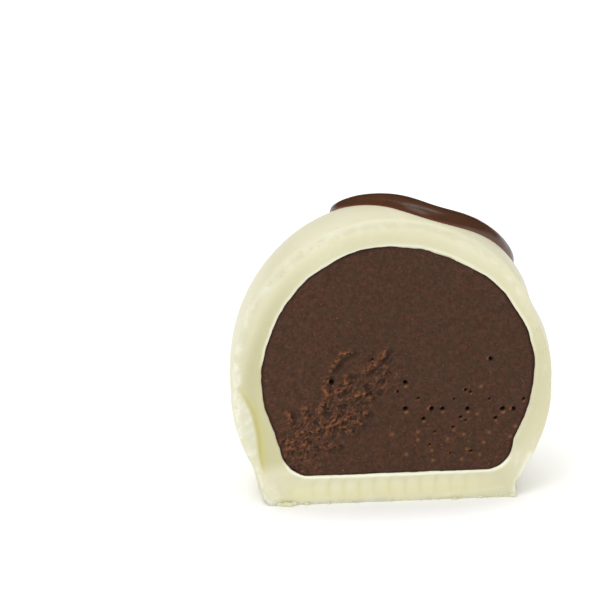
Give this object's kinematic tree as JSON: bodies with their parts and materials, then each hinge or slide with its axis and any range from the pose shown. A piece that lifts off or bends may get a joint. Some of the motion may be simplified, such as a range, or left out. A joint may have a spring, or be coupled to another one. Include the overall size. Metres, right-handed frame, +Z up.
{
  "type": "chocolate praline",
  "caption": "Cut half of a round white chocolate praline with a dark spiral drizzle, a thick shell and a dark ganache filling on show.",
  "frame": {"origin": "on the dome's axis, on the base it stands on, 3 mm behind the plane of the cut", "axes": "+X to the right along the cut face, +Y away from the cut face through the dome, +Z up the dome's axis"},
  "size_m": [0.0302, 0.0183, 0.0288],
  "materials": {
    "white_chocolate": "ivory white chocolate, satin outside, waxy and slightly frosted on the cut",
    "dark_chocolate": "glossy dark chocolate drizzle",
    "ganache_filling": "matte, finely grained dark ganache with small pits and paler flecks"
  },
  "bodies": {
    "root": {"white_shell": "white_chocolate", "ganache": "ganache_filling"}
  },
  "joints": []
}
